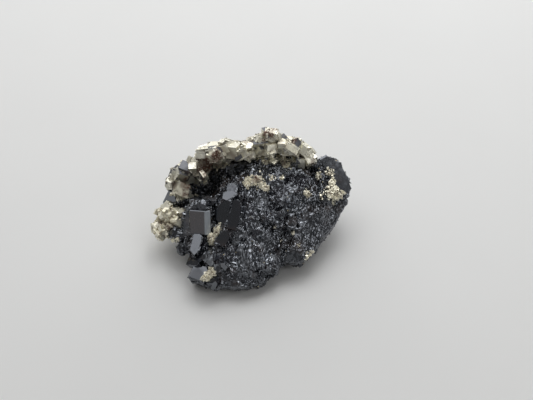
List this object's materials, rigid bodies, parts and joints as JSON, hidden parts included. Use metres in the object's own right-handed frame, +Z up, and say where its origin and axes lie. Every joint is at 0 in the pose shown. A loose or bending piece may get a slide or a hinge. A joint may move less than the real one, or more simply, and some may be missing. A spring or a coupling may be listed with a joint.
{
  "type": "mineral specimen",
  "caption": "Hand specimen of pyrite with sphalerite: a wedge of glittering black sphalerite with flat-faced crystals, capped by a crust of brassy pyrite crystals.",
  "frame": {"origin": "middle of the specimen's bounding box in plan, on the surface it rests on", "axes": "+Z up, -Y towards the viewer of the picture, +X to the viewer's right"},
  "size_m": [0.0614, 0.0446, 0.0308],
  "materials": {
    "sphalerite": "near-black sphalerite with an adamantine lustre, stands in as a glossy non-metal",
    "pyrite": "pale brassy pyrite crystal faces, bright to tarnished brown"
  },
  "bodies": {
    "root": {"sphalerite_mass": "sphalerite", "pyrite_crust": "pyrite", "pyrite_cluster_left": "pyrite", "pyrite_tuft_front": "pyrite", "pyrite_tuft_low": "pyrite", "pyrite_patch_right": "pyrite", "pyrite_patch_middle": "pyrite"}
  },
  "joints": []
}
